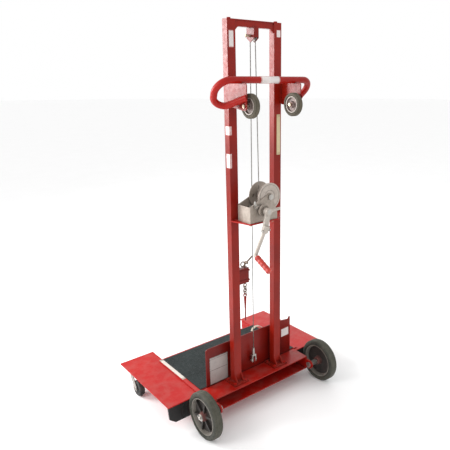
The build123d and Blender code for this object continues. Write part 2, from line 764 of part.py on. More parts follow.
def ratchet_wheel():
    """Ratchet wheel and the brake disc behind it, keyed to the crank shaft."""
    outline = []
    for tooth in range(RATCHET_TEETH):
        start = 2 * math.pi * tooth / RATCHET_TEETH
        step = 2 * math.pi / RATCHET_TEETH
        for share, r in ((0.0, RATCHET_R), (0.12, RATCHET_R - RATCHET_DEPTH), (0.55, RATCHET_R - 2)):
            angle = start + share * step
            outline.append((CRANK_X + r * math.cos(angle), CRANK_Z + r * math.sin(angle)))
    piece = plate_xz(outline, RATCHET_REAR, RATCHET_FRONT)
    piece += rod((CRANK_X, RATCHET_REAR - 10, CRANK_Z), (CRANK_X, RATCHET_REAR, CRANK_Z), 24)
    piece -= rod((CRANK_X, RATCHET_REAR - 11, CRANK_Z), (CRANK_X, RATCHET_REAR - 7, CRANK_Z), 20)
    piece += rod((CRANK_X, RATCHET_REAR - 12, CRANK_Z), (CRANK_X, RATCHET_REAR, CRANK_Z), 13)
    start = (CRANK_X, RATCHET_REAR - 13, CRANK_Z)
    return piece - rod(start, (CRANK_X, RATCHET_FRONT + 1, CRANK_Z), CRANK_SHAFT_R)


def pawl():
    """Pawl on its stud; at rest it rides just clear of the ratchet's tips."""
    toward = math.atan2(CRANK_Z - PAWL_Z, CRANK_X - PAWL_X)
    tip_x = PAWL_X + PAWL_LENGTH * math.cos(toward + PAWL_LIFT)
    tip_z = PAWL_Z + PAWL_LENGTH * math.sin(toward + PAWL_LIFT)
    y0 = RATCHET_REAR + 1
    y1 = RATCHET_FRONT - 1
    boss = rod((PAWL_X, y0, PAWL_Z), (PAWL_X, y1, PAWL_Z), 8)
    side = (-math.sin(toward) * 5, math.cos(toward) * 5)
    arm = plate_xz(
        [
            (PAWL_X + side[0], PAWL_Z + side[1]),
            (tip_x + side[0] * 0.5, tip_z + side[1] * 0.5),
            (tip_x, tip_z),
            (PAWL_X - side[0], PAWL_Z - side[1]),
        ],
        y0,
        y1,
    )
    tail = plate_xz(
        [
            (PAWL_X + side[0], PAWL_Z + side[1]),
            (PAWL_X - 4, PAWL_Z + 24),
            (PAWL_X - 10, PAWL_Z + 22),
            (PAWL_X - side[0] - 4, PAWL_Z - side[1]),
        ],
        y0,
        y1,
    )
    piece = boss + arm + tail
    return piece - rod((PAWL_X, y0 - 1, PAWL_Z), (PAWL_X, y1 + 1, PAWL_Z), PAWL_PIN_R + RUNNING_FIT)


# ---------------------------------------------------------------- crank


def crank_arm():
    """Hub with a side stud, and the flat arm that ends in a split clamp."""
    piece = rod((CRANK_X, HUB_REAR, CRANK_Z), (CRANK_X, HUB_FRONT, CRANK_Z), 15)
    down = Vector(CLAMP.X - CRANK_X, 0, CLAMP.Z - CRANK_Z).normalized()
    across = Vector(-down.Z, 0, down.X)
    start = Vector(CRANK_X, 0, CRANK_Z)
    end = Vector(CLAMP.X, 0, CLAMP.Z)
    corners = [start + across * 12, end + across * 12, end - across * 12, start - across * 12]
    piece += plate_xz([(p.X, p.Z) for p in corners], CRANK_Y - 5, CRANK_Y + 5)
    lean = (ELBOW - CLAMP).normalized()
    piece += rod(CLAMP - lean * 20, CLAMP + lean * 8, 14)
    piece += rod((CRANK_X, CRANK_Y, CRANK_Z), (CRANK_X + 62, CRANK_Y, CRANK_Z + 4), 6)
    piece -= rod((CRANK_X, HUB_REAR - 1, CRANK_Z), (CRANK_X, HUB_FRONT + 1, CRANK_Z), CRANK_SHAFT_R)
    piece -= rod(CLAMP - lean * 12, CLAMP + lean * 20, CRANK_TUBE_R)
    piece -= rod(clamp_bolt_start(), clamp_bolt_end(), 3.0 + BOLT_GAP)
    return piece


def clamp_bolt_start():
    return (CLAMP.X - 17, CLAMP.Y - 4, CLAMP.Z)


def clamp_bolt_end():
    return (CLAMP.X + 25, CLAMP.Y - 4, CLAMP.Z)


def crank_tube():
    """Extension tube, its elbow and the spindle that the grip turns on."""
    lean = (ELBOW - CLAMP).normalized()
    piece = rod(CLAMP - lean * 12, ELBOW, CRANK_TUBE_R)
    piece += Pos(ELBOW) * Sphere(CRANK_TUBE_R)
    piece += rod(ELBOW, ELBOW + GRIP_AXIS * (GRIP_LENGTH + 4), GRIP_SPINDLE_R)
    piece += rod(ELBOW, ELBOW + GRIP_AXIS * 9, CRANK_TUBE_R)
    piece -= rod(clamp_bolt_start(), clamp_bolt_end(), 3.0 + BOLT_GAP)
    return piece


def crank_bolt():
    start = Vector(*clamp_bolt_start()) + Vector(2, 0, 0)
    return bolt(start, (1, 0, 0), 3.0, 31)


def crank_grip():
    """Red grip, turning freely on the spindle, with four finger ridges."""
    start = 10.5
    bore = GRIP_SPINDLE_R + RUNNING_FIT
    blind = GRIP_LENGTH + 4.5
    profile = [(blind, 0), (blind, bore), (start, bore), (start, GRIP_R - 2), (start + 3, GRIP_R)]
    for ridge in range(4):
        at = start + 12 + ridge * 18
        profile += [(at, GRIP_R), (at + 4, GRIP_R - 1.2), (at + 10, GRIP_R - 1.2), (at + 14, GRIP_R)]
    end = start + GRIP_LENGTH
    profile += [(end - 4, GRIP_R), (end, GRIP_R - 4), (end, 0)]
    frame = Plane(origin=ELBOW, x_dir=GRIP_AXIS, z_dir=(1, 0, 0))
    face = make_face(Polyline([frame.from_local_coords((a, r, 0)) for a, r in profile], close=True))
    return revolve(face, axis=Axis(ELBOW, GRIP_AXIS), revolution_arc=360)


# ---------------------------------------------------------------- rope
def rope_rear_fall():
    """Rope from the drum up to the sheave and over its top."""
    drum_side = (DRUM_X - WRAP_R - ROPE_R - BODY_GAP, -45, DRUM_Z + 2)
    fall = rod(drum_side, (0, ROPE_REAR_Y, SHEAVE_Z), ROPE_R)
    path = ThreePointArc(
        (0, ROPE_REAR_Y, SHEAVE_Z),
        (0, SHEAVE_Y, SHEAVE_Z + SHEAVE_ROPE_R),
        (0, ROPE_FRONT_Y, SHEAVE_Z),
    )
    over = sweep(Plane(origin=path @ 0, z_dir=path % 0) * Circle(ROPE_R), path=path)
    return group([fall, over])


def rope_front_fall():
    return rod((0, ROPE_FRONT_Y, CLEVIS_TOP + BODY_GAP), (0, ROPE_FRONT_Y, SHEAVE_Z), ROPE_R)


# ---------------------------------------------------------------- carriage


def carriage_plate():
    """Back plate with a trolley bar for each post and the lug for the rope."""
    corner = 12.0
    low = PLATFORM_TOP - PLATFORM_PLATE
    outline = [(-BACK_HALF, low), (BACK_HALF, low)]
    outline += [(BACK_HALF, BACK_TOP + 4), (BACK_HALF - 8, BACK_TOP + 4)]
    outline += [(BACK_HALF - 12, BACK_TOP - 6), (BACK_HALF - 60, BACK_TOP)]
    for degrees in range(90, 181, 15):
        angle = math.radians(degrees)
        x = -BACK_HALF + corner + corner * math.cos(angle)
        outline.append((x, BACK_TOP - corner + corner * math.sin(angle)))
    piece = plate_xz(outline, BACK_REAR, BACK_FRONT)
    for side in (-1, 1):
        x = side * POST_CENTRE_X
        bar = block(x - 3, x + 3, ROLLER_Y - 8, BACK_REAR, TROLLEY_LOW, TROLLEY_TOP)
        for z in ROLLER_HEIGHTS.values():
            bar -= rod((x - 10, ROLLER_Y, z), (x + 10, ROLLER_Y, z), 4 + RUNNING_FIT)
        piece += bar
    lug = block(-4, 4, ROPE_FRONT_Y - 9, BACK_REAR, LUG_Z - 14, LUG_Z + 12)
    lug -= rod((-10, ROPE_FRONT_Y, LUG_Z), (10, ROPE_FRONT_Y, LUG_Z), 4)
    return piece + lug


def guide_roller(x, z):
    """Two guide rollers pressed on one spindle, inside a post."""
    piece = rod((x - 14, ROLLER_Y, z), (x + 14, ROLLER_Y, z), 4)
    piece += rod((x - 14, ROLLER_Y, z), (x - 4.5, ROLLER_Y, z), ROLLER_R)
    piece += rod((x + 4.5, ROLLER_Y, z), (x + 14, ROLLER_Y, z), ROLLER_R)
    return piece


def platform():
    """Load platform: sheet with a folded front lip and four ribs underneath."""
    low = PLATFORM_TOP - PLATFORM_PLATE
    piece = block(-PLATFORM_HALF, PLATFORM_HALF, BACK_FRONT, PLATFORM_FAR, low, PLATFORM_TOP)
    half = CHANNEL_HALF - 56
    for x in (-half, -70, 64, half - 6):
        piece += block(x, x + 6, BACK_FRONT, PLATFORM_FAR - 10, low - 30, low)
    return piece


def platform_mat():
    edge = 20.0
    return block(
        -PLATFORM_HALF + edge,
        PLATFORM_HALF - edge,
        BACK_FRONT + 3,
        PLATFORM_FAR - 9,
        PLATFORM_TOP,
        PLATFORM_TOP + MAT,
    )


def rope_clevis():
    """Swaged fork on the end of the rope, and its pin through the lug."""
    c = (0, ROPE_FRONT_Y)
    piece = rod((*c, LUG_Z + 26), (*c, CLEVIS_TOP), 5.5)
    piece += block(-11, 11, ROPE_FRONT_Y - 6, ROPE_FRONT_Y + 6, LUG_Z + 20, LUG_Z + 27)
    for x in (-11, 6):
        piece += block(x, x + 5, ROPE_FRONT_Y - 6, ROPE_FRONT_Y + 6, LUG_Z - 9, LUG_Z + 21)
    piece += rod((-15, ROPE_FRONT_Y, LUG_Z), (15, ROPE_FRONT_Y, LUG_Z), 4)
    piece += rod((-15, ROPE_FRONT_Y, LUG_Z), (-11, ROPE_FRONT_Y, LUG_Z), 6.5)
    return piece


# ---------------------------------------------------------------- tie-down on the left post


def tie_block():
    """Clamp block on the post's inner face, with two ribs."""
    piece = block(-POST_IN, TIE_X + 14, TIE_Y - 11, TIE_Y + 11, TIE_LOW, TIE_TOP)
    for z in (TIE_LOW + 8, TIE_TOP - 16):
        piece += block(-POST_IN, TIE_X + 17, TIE_Y - 13, TIE_Y + 13, z, z + 8)
    piece -= rod((TIE_X, TIE_Y, TIE_LOW - 1), (TIE_X, TIE_Y, TIE_LOW + 10), 3)
    piece -= rod((TIE_X, TIE_Y, TIE_TOP - 10), (TIE_X, TIE_Y, TIE_TOP + 1), HOOK_R)
    return piece


def tie_chain():
    """Hook above the block and three plain links below it."""
    route = FilletPolyline(
        (TIE_X, TIE_Y, TIE_TOP - 10),
        (TIE_X, TIE_Y, TIE_TOP + 14),
        (TIE_X + 42, TIE_Y, TIE_TOP + 42),
        radius=12,
    )
    hook = sweep(Plane(origin=route @ 0, z_dir=route % 0) * Circle(HOOK_R), path=route)
    hook += Pos(TIE_X - 11, TIE_Y, TIE_TOP + 17) * (Rot(90, 0, 0) * Torus(10, 2.6))
    hook += rod((TIE_X + 9, TIE_Y - 9, TIE_TOP + 20), (TIE_X + 9, TIE_Y + 9, TIE_TOP + 20), 5)
    stem = rod((TIE_X, TIE_Y, TIE_LOW - 7), (TIE_X, TIE_Y, TIE_LOW + 10), 3)
    stem += Pos(TIE_X, TIE_Y, TIE_LOW - 15) * (Rot(90, 0, 0) * Torus(8, 2.4))
    pieces = [hook, stem]
    for link in range(3):
        z = TIE_LOW - 15 - (link + 1) * 11.5
        turn = Rot(90, 0, 0) if link % 2 else Rot(0, 90, 0)
        pieces.append(Pos(TIE_X, TIE_Y, z) * (turn * Torus(8, 2.2)))
    return group(pieces)


def tie_strap():
    """Tapered pull rod under the last link."""
    top = TIE_LOW - 15 - 3 * 11.5 - 11
    eye = Pos(TIE_X, TIE_Y, top) * (Rot(90, 0, 0) * Torus(7.5, 2.4))
    cone = Cone(3, 6, 60, align=(Align.CENTER, Align.CENTER, Align.MIN))
    shaft = Pos(TIE_X, TIE_Y, top - 68) * cone
    low = rod((TIE_X, TIE_Y, top - 120), (TIE_X, TIE_Y, top - 67), 3)
    return eye + shaft + low


# ---------------------------------------------------------------- assembly
nodes["cross_channel"] = cross_channel()
nodes["wheel_axles"] = group([wheel_axle(), mirrored(wheel_axle())])
nodes["axle_hardware"] = group(
    [axle_washer(), mirrored(axle_washer()), cotter_pin(), mirrored(cotter_pin())]
)
both("leg", leg_left())
nodes["leg_ends"] = group([leg_end(), mirrored(leg_end())])
nodes["front_tie"] = front_tie()
both("wheel_rim", wheel_rim())
both("wheel_tyre", tyre((-WHEEL_X, WHEEL_Y, WHEEL_R), WHEEL_R, WHEEL_WIDTH, RIM_R, 6))
nodes["caster_plates"] = group([caster_plate(), mirrored(caster_plate())])
nodes["kingpins"] = group([kingpin(), mirrored(kingpin())])
both("caster_fork", caster_fork())
both("caster_wheel", caster_wheel())
both("mast_post", mast_post())
nodes["frame_bolts"] = frame_bolts()
nodes["top_beam"] = top_beam()
nodes["sheave_bracket"] = sheave_bracket()
nodes["sheave_pin"] = sheave_pin()
nodes["sheave"] = sheave()
nodes["handle_tube"] = handle_tube()
both("handle_plate", handle_plate())
nodes["handle_wheel_bolts"] = group([small_wheel_bolt(), mirrored(small_wheel_bolt())])
both("handle_rim", small_rim())
small_centre = (-SMALL_WHEEL_X, SMALL_WHEEL_Y, SMALL_WHEEL_Z)
both("handle_tyre", tyre(small_centre, SMALL_WHEEL_R, SMALL_WHEEL_WIDTH, 32, 4))
nodes["winch_plate"] = winch_plate()
nodes["winch_bolts"] = winch_bolts()
nodes["winch_frame"] = winch_frame()
nodes["gear_guard"] = gear_guard()
nodes["drum_shaft"] = drum_shaft()
nodes["drum"] = drum()
nodes["drum_gear"] = drum_gear()
nodes["rope_wraps"] = rope_wraps()
nodes["crank_shaft"] = crank_shaft()
nodes["ratchet_wheel"] = ratchet_wheel()
nodes["pawl"] = pawl()
nodes["crank_arm"] = crank_arm()
nodes["crank_tube"] = crank_tube()
nodes["crank_bolt"] = crank_bolt()
nodes["crank_grip"] = crank_grip()
nodes["rope_rear_fall"] = rope_rear_fall()
nodes["rope_front_fall"] = rope_front_fall()
nodes["carriage_plate"] = carriage_plate()
for level, height in ROLLER_HEIGHTS.items():
    nodes["guide_roller_left_" + level] = guide_roller(-POST_CENTRE_X, height)
    nodes["guide_roller_right_" + level] = guide_roller(POST_CENTRE_X, height)
nodes["platform"] = platform()
nodes["platform_mat"] = platform_mat()
nodes["rope_clevis"] = rope_clevis()
nodes["tie_block"] = tie_block()
nodes["tie_chain"] = tie_chain()
nodes["tie_strap"] = tie_strap()

boxes = [piece.bounding_box() for piece in nodes.values()]
middle_y = (min(box.min.Y for box in boxes) + max(box.max.Y for box in boxes)) / 2
print("the origin sits on the floor at Y =", round(middle_y, 4))

os.makedirs("parts", exist_ok=True)
for name, piece in nodes.items():
    export_step(Pos(0, -middle_y, 0) * piece, f"parts/{name}.step")
    print(name, round(piece.volume), "mm3")
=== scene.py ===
import math
import random

import bpy
import bmesh
from mathutils import Matrix, Vector


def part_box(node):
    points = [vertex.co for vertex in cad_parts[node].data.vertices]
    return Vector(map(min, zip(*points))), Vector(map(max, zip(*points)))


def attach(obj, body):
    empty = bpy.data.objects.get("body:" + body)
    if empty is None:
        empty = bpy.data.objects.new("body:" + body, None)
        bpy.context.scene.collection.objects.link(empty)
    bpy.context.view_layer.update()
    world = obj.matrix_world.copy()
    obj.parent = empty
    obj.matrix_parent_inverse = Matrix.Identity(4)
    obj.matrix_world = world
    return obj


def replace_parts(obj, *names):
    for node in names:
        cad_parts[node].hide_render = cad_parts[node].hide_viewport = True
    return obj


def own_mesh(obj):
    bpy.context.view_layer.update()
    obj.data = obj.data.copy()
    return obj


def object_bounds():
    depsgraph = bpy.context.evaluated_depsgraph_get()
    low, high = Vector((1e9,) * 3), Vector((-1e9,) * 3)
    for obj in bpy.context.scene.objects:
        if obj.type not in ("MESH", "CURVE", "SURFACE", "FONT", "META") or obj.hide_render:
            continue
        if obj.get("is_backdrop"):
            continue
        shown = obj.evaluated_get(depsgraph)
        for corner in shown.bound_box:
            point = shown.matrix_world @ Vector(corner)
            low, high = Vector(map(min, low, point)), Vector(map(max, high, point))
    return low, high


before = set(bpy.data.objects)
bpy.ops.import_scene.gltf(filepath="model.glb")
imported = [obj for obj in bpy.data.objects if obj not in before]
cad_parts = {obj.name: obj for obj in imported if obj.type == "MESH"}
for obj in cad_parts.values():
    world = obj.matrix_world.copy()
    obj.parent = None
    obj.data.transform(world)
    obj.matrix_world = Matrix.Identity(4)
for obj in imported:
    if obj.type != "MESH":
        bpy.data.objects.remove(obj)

CAD_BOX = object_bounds()
random.seed(7)
MM = 0.001

# ---------------------------------------------------------------- places taken from the frame
# Points are given in millimetres from the mast's centre line, the posts' rear faces and the floor.
POSTS_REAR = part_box("top_beam")[0].y


def at(x, y, z):
    """A point in metres, from millimetres measured off the posts' rear faces."""
    return Vector((x * MM, y * MM + POSTS_REAR, z * MM))


def edges(node):
    """Lowest and highest corner of a CAD node in the millimetres that at() takes."""
    low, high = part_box(node)
    shift = Vector((0, POSTS_REAR, 0))
    return (low - shift) / MM, (high - shift) / MM


# ---------------------------------------------------------------- shader helpers
class Shader:
    """One material and the small set of node calls its recipes are written in."""

    def __init__(self, name):
        self.material = bpy.data.materials.new(name)
        self.material.use_nodes = True
        self.tree = self.material.node_tree
        self.surface = self.tree.nodes["Principled BSDF"]
        self.place = self.add("TexCoord").outputs["Object"]

    def add(self, kind, inputs=None, **settings):
        node = self.tree.nodes.new("ShaderNode" + kind)
        for key, value in settings.items():
            setattr(node, key, value)
        for key, value in (inputs or {}).items():
            self.feed(node.inputs[key], value)
        return node

    def feed(self, socket, value):
        if isinstance(value, bpy.types.NodeSocket):
            self.tree.links.new(value, socket)
        elif isinstance(value, tuple) and len(value) == 3 and socket.type == "RGBA":
            socket.default_value = (*value, 1.0)
        else:
            socket.default_value = value

    def scaled(self, x, y, z):
        """Object coordinates stretched by a scale for each axis."""
        return self.add("Mapping", {"Vector": self.place, "Scale": (x, y, z)}).outputs[0]

    def noise(self, scale, detail=3.0, rough=0.55, where=None):
        inputs = {"Vector": where or self.place, "Scale": scale, "Detail": detail, "Roughness": rough}
        return self.add("TexNoise", inputs).outputs["Fac"]

    def cells(self, scale, where=None):
        return self.add("TexVoronoi", {"Vector": where or self.place, "Scale": scale}).outputs["Color"]

    def math(self, operation, a, b=0.0, c=0.0):
        return self.add("Math", {0: a, 1: b, 2: c}, operation=operation).outputs[0]

    def span(self, value, low, high, out_low=0.0, out_high=1.0):
        """A value mapped from one span to another and held at its ends."""
        inputs = {"Value": value, "From Min": low, "From Max": high, "To Min": out_low, "To Max": out_high}
        return self.add("MapRange", inputs).outputs[0]

    def mix(self, share, a, b):
        node = self.add("Mix", data_type="RGBA")
        self.feed(node.inputs["Factor"], share)
        self.feed(node.inputs[6], a)
        self.feed(node.inputs[7], b)
        return node.outputs[2]

    def edge(self, radius):
        """The rounded normal, and a mask that is 1 along hard edges."""
        rounded = self.add("Bevel", {"Radius": radius}, samples=4).outputs[0]
        plain = self.add("NewGeometry").outputs["Normal"]
        dot = self.add("VectorMath", {0: rounded, 1: plain}, operation="DOT_PRODUCT").outputs["Value"]
        return rounded, self.span(dot, 0.995, 0.86)

    def reach(self, node, across):
        """Distance from a CAD node's axle, and the node's radius; across is 0 along the axle."""
        low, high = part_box(node)
        from_axle = self.add("VectorMath", {0: self.place, 1: (low + high) / 2}, operation="SUBTRACT")
        flat = self.add("VectorMath", {0: from_axle.outputs[0], 1: across}, operation="MULTIPLY")
        length = self.add("VectorMath", {0: flat.outputs[0]}, operation="LENGTH").outputs["Value"]
        return length, (high.z - low.z) / 2

    def bump(self, height, distance, strength=1.0, normal=None):
        inputs = {"Height": height, "Distance": distance, "Strength": strength}
        if normal is not None:
            inputs["Normal"] = normal
        return self.add("Bump", inputs).outputs[0]

    def finish(self, color, roughness, normal, **constants):
        """Wire the surface; the constants are set on the shader's own sockets."""
        self.feed(self.surface.inputs["Base Color"], color)
        self.feed(self.surface.inputs["Roughness"], roughness)
        self.feed(self.surface.inputs["Normal"], normal)
        for key, value in constants.items():
            self.surface.inputs[key.replace("_", " ")].default_value = value
        return self.material


# ---------------------------------------------------------------- materials
PRIMER = (0.070, 0.038, 0.030)
DUST = (0.30, 0.25, 0.21)
WHEEL_ACROSS = (0, 1, 1)
WINCH_ACROSS = (1, 0, 1)
MOULD_RING = 0.0058
STUD_PITCH = 0.0085
WARP_PITCH = 0.0022
WEFT_PITCH = 0.0016


def painted(name, color, deep, wear=0.5, shade_amount=0.5, gloss=0.34):
    """Enamel over steel: mottled tone, fine scratches, chipped edges, painted shade in the corners, dust on
    upward faces.
    """
    s = Shader(name)
    rounded, edge = s.edge(0.0011)
    broad = s.noise(5.0, 4.0)
    tone = s.mix(s.span(broad, 0.35, 0.68), color, deep)
    streak = s.noise(1.0, 3.0, 0.6, s.scaled(160, 160, 9))
    tone = s.mix(s.span(streak, 0.55, 0.75, 0.0, 0.30), tone, deep)
    along = s.noise(1.0, 2.0, 0.5, s.scaled(900, 700, 26))
    across = s.noise(1.0, 2.0, 0.5, s.scaled(30, 34, 800))
    worn_patch = s.span(s.noise(9.0, 2.0), 0.50, 0.66)
    scratch = s.math("MAXIMUM", s.span(along, 0.70, 0.73), s.span(across, 0.71, 0.74))
    scratch = s.math("MULTIPLY", s.math("MULTIPLY", scratch, worn_patch), 0.5 * wear)
    pale = tuple(min(1.0, 1.35 * c + 0.10) for c in color)
    tone = s.mix(scratch, tone, pale)
    # painted shade: corners and recesses darkened by ambient occlusion, in patches
    corner = s.add("AmbientOcclusion", {"Distance": 0.018}, samples=6).outputs["AO"]
    corner_shade = s.math("MULTIPLY", s.span(corner, 0.75, 0.25), s.span(s.noise(40.0), 0.3, 0.6, 0.35, 1.0))
    tone = s.mix(s.math("MULTIPLY", corner_shade, shade_amount), tone, (0.045, 0.014, 0.012))
    chip = s.math("MULTIPLY", edge, s.span(s.noise(210.0, 4.0), 0.57, 0.62))
    chip = s.math("MULTIPLY", chip, s.span(s.noise(14.0), 0.42, 0.58, 0.0, wear))
    spot = s.math("MULTIPLY", s.span(s.noise(420.0, 2.0), 0.775, 0.79), 0.5 * wear)
    bare = s.math("MAXIMUM", chip, spot)
    tone = s.mix(bare, tone, PRIMER)
    up = s.add("SeparateXYZ", {0: s.add("NewGeometry").outputs["Normal"]}).outputs["Z"]
    dust = s.math("MULTIPLY", s.span(up, 0.6, 1.0), s.span(s.noise(22.0, 5.0), 0.42, 0.75, 0.0, 0.16))
    tone = s.mix(dust, tone, DUST)
    rough = s.span(s.noise(70.0, 3.0), 0.3, 0.7, gloss - 0.06, gloss + 0.10)
    rough = s.math("ADD", rough, s.math("MULTIPLY", s.math("MAXIMUM", bare, corner_shade), 0.30))
    peel = s.bump(s.noise(620.0, 2.0), 0.00012, 0.55, rounded)
    normal = s.bump(s.math("SUBTRACT", 1.0, s.math("MAXIMUM", bare, scratch)), 0.00016, 0.8, peel)
    return s.finish(tone, rough, normal, Specular_IOR_Level=0.22, Coat_Weight=0.04, Coat_Roughness=0.18)


def plated(name, color, deep, roughness, metallic, cells=170.0, rust=0.15):
    """Zinc plate or galvanising: crystal flecks, rub marks, painted shade in the corners and a little rust.
    """
    s = Shader(name)
    rounded, edge = s.edge(0.0008)
    fleck = s.add("SeparateColor", {0: s.cells(cells)}).outputs[0]
    tone = s.mix(s.span(fleck, 0.0, 1.0, 0.0, 0.40), color, deep)
    tone = s.mix(s.span(s.noise(16.0, 5.0), 0.45, 0.72, 0.0, 0.55), tone, deep)
    # painted shade: corners and recesses darkened by ambient occlusion
    corner = s.add("AmbientOcclusion", {"Distance": 0.012}, samples=6).outputs["AO"]
    dark = s.math("MULTIPLY", s.span(corner, 0.70, 0.20), s.span(s.noise(60.0), 0.3, 0.6, 0.4, 0.9))
    tone = s.mix(dark, tone, (0.075, 0.062, 0.050))
    spot = s.math("MULTIPLY", s.span(s.noise(95.0, 5.0), 0.60, 0.72), rust)
    tone = s.mix(spot, tone, (0.20, 0.075, 0.030))
    tone = s.mix(s.math("MULTIPLY", edge, 0.45), tone, tuple(min(1.0, 1.25 * c) for c in color))
    rub = s.noise(1.0, 3.0, 0.6, s.scaled(60, 60, 900))
    rough = s.span(rub, 0.3, 0.7, roughness - 0.07, roughness + 0.09)
    rough = s.math("ADD", rough, s.math("MULTIPLY", s.math("MAXIMUM", dark, spot), 0.3))
    grain = s.bump(s.noise(900.0, 3.0), 0.00006, 0.5, rounded)
    normal = s.bump(fleck, 0.00004, 0.5, grain)
    return s.finish(tone, rough, normal, Metallic=metallic)


def wheel_centre(name, node, ring, web, hub):
    """Cast wheel centre: a worn pale rim ring, a dark web with painted shade between its ribs, and a rusty
    hub.
    """
    s = Shader(name)
    rounded, edge = s.edge(0.001)
    reach, radius = s.reach(node, WHEEL_ACROSS)
    mottled = s.mix(s.span(s.noise(60.0, 4.0), 0.35, 0.68), web, tuple(0.45 * c for c in web))
    pale = s.mix(s.span(s.noise(45.0, 4.0), 0.35, 0.70, 0.0, 0.6), ring, tuple(0.5 * c for c in ring))
    tone = s.mix(s.span(reach, radius * 0.86, radius * 0.90), mottled, pale)
    tone = s.mix(s.span(reach, radius * 0.30, radius * 0.22), tone, hub)
    tone = s.mix(s.math("MULTIPLY", edge, 0.22), tone, ring)
    # painted shade: hollows between the ribs darkened by ambient occlusion
    corner = s.add("AmbientOcclusion", {"Distance": 0.015}, samples=6).outputs["AO"]
    tone = s.mix(s.span(corner, 0.65, 0.15, 0.0, 0.7), tone, (0.030, 0.026, 0.022))
    rough = s.span(s.noise(90.0, 3.0), 0.3, 0.7, 0.42, 0.65)
    normal = s.bump(s.noise(450.0, 3.0), 0.00015, 0.6, rounded)
    return s.finish(tone, rough, normal, Metallic=0.15)


def pressed_disc(name, node, color, deep):
    """Zinc disc with pressed steps round its axle, drawn as soft rings in the surface and darkened along the
    steps as painted shade.
    """
    s = Shader(name)
    rounded, edge = s.edge(0.0008)
    reach, radius = s.reach(node, WINCH_ACROSS)
    rise = s.span(reach, radius * 0.84, radius * 0.90)
    dish = s.span(reach, radius * 0.50, radius * 0.44)
    height = s.math("MAXIMUM", rise, dish)
    slope = s.math("MULTIPLY", height, s.math("SUBTRACT", 1.0, height))
    fleck = s.add("SeparateColor", {0: s.cells(170.0)}).outputs[0]
    tone = s.mix(s.span(fleck, 0.0, 1.0, 0.0, 0.35), color, deep)
    tone = s.mix(s.span(s.noise(20.0, 5.0), 0.42, 0.72, 0.0, 0.6), tone, deep)
    # painted shade: the slopes of the pressed steps darkened
    tone = s.mix(s.span(slope, 0.02, 0.25, 0.0, 0.6), tone, tuple(0.4 * c for c in deep))
    tone = s.mix(s.math("MULTIPLY", edge, 0.4), tone, tuple(min(1.0, 1.2 * c) for c in color))
    rough = s.span(s.noise(80.0, 3.0), 0.3, 0.7, 0.36, 0.54)
    normal = s.bump(s.noise(900.0), 0.00005, 0.5, s.bump(height, 0.0022, 0.9, rounded))
    return s.finish(tone, rough, normal, Metallic=0.5)


def rubber(name, color, dusty, axis_node=None, roughness=0.72, speckle=0.5):
    """Moulded rubber with bloom and scuffs; on a wheel the tread is dustier than the side."""
    s = Shader(name)
    rounded, edge = s.edge(0.0012)
    bloom = s.span(s.noise(18.0, 5.0), 0.38, 0.70)
    tone = s.mix(s.math("MULTIPLY", bloom, 0.55), color, dusty)
    fine = s.span(s.noise(480.0, 2.0), 0.58, 0.66, 0.0, speckle)
    tone = s.mix(fine, tone, tuple(1.5 * c + 0.02 for c in dusty))
    height = s.noise(700.0, 3.0)
    if axis_node:
        reach, radius = s.reach(axis_node, WHEEL_ACROSS)
        tread = s.span(reach, radius * 0.965, radius * 0.99)
        dirt = s.math("MULTIPLY", tread, s.span(s.noise(55.0, 4.0), 0.35, 0.65, 0.35, 0.85))
        tone = s.mix(dirt, tone, dusty)
        ring = s.math("SINE", s.math("MULTIPLY", reach, 2 * math.pi / MOULD_RING))
        moulding = s.math("MULTIPLY", s.span(ring, 0.86, 0.99), s.math("SUBTRACT", 1.0, tread))
        height = s.math("ADD", s.math("MULTIPLY", height, 0.3), moulding)
    tone = s.mix(s.math("MULTIPLY", edge, 0.35), tone, tuple(1.6 * c + 0.01 for c in dusty))
    rough = s.span(s.noise(40.0, 3.0), 0.3, 0.7, roughness - 0.10, roughness + 0.12)
    normal = s.bump(height, 0.00035, 0.7, rounded)
    return s.finish(tone, rough, normal, IOR=1.45)


def studded_mat(name):
    """Anti-slip rubber sheet: small diamond studs, pale grit between them and rubbed tops."""
    s = Shader(name)
    pitch = 2 * math.pi / STUD_PITCH
    turned = s.add("Mapping", {"Vector": s.place, "Rotation": (0, 0, math.radians(45))}).outputs[0]
    parts = s.add("SeparateXYZ", {0: turned})
    wave_x = s.math("SINE", s.math("MULTIPLY", parts.outputs["X"], pitch))
    wave_y = s.math("SINE", s.math("MULTIPLY", parts.outputs["Y"], pitch))
    stud = s.span(s.math("MULTIPLY", wave_x, wave_y), 0.05, 0.62)
    tone = s.mix(s.span(s.noise(7.0, 5.0), 0.35, 0.70), (0.009, 0.013, 0.013), (0.020, 0.027, 0.027))
    grit = s.math("MULTIPLY", s.span(s.noise(520.0, 2.0), 0.56, 0.66), 0.35)
    tone = s.mix(grit, tone, (0.13, 0.145, 0.14))
    rubbed = s.math("MULTIPLY", stud, s.span(s.noise(11.0, 3.0), 0.40, 0.65, 0.10, 0.55))
    tone = s.mix(rubbed, tone, (0.040, 0.050, 0.050))
    rough = s.span(s.noise(60.0, 3.0), 0.3, 0.7, 0.55, 0.78)
    height = s.math("ADD", stud, s.math("MULTIPLY", s.noise(700.0), 0.25))
    return s.finish(tone, rough, s.bump(height, 0.0007, 0.75), Specular_IOR_Level=0.2)


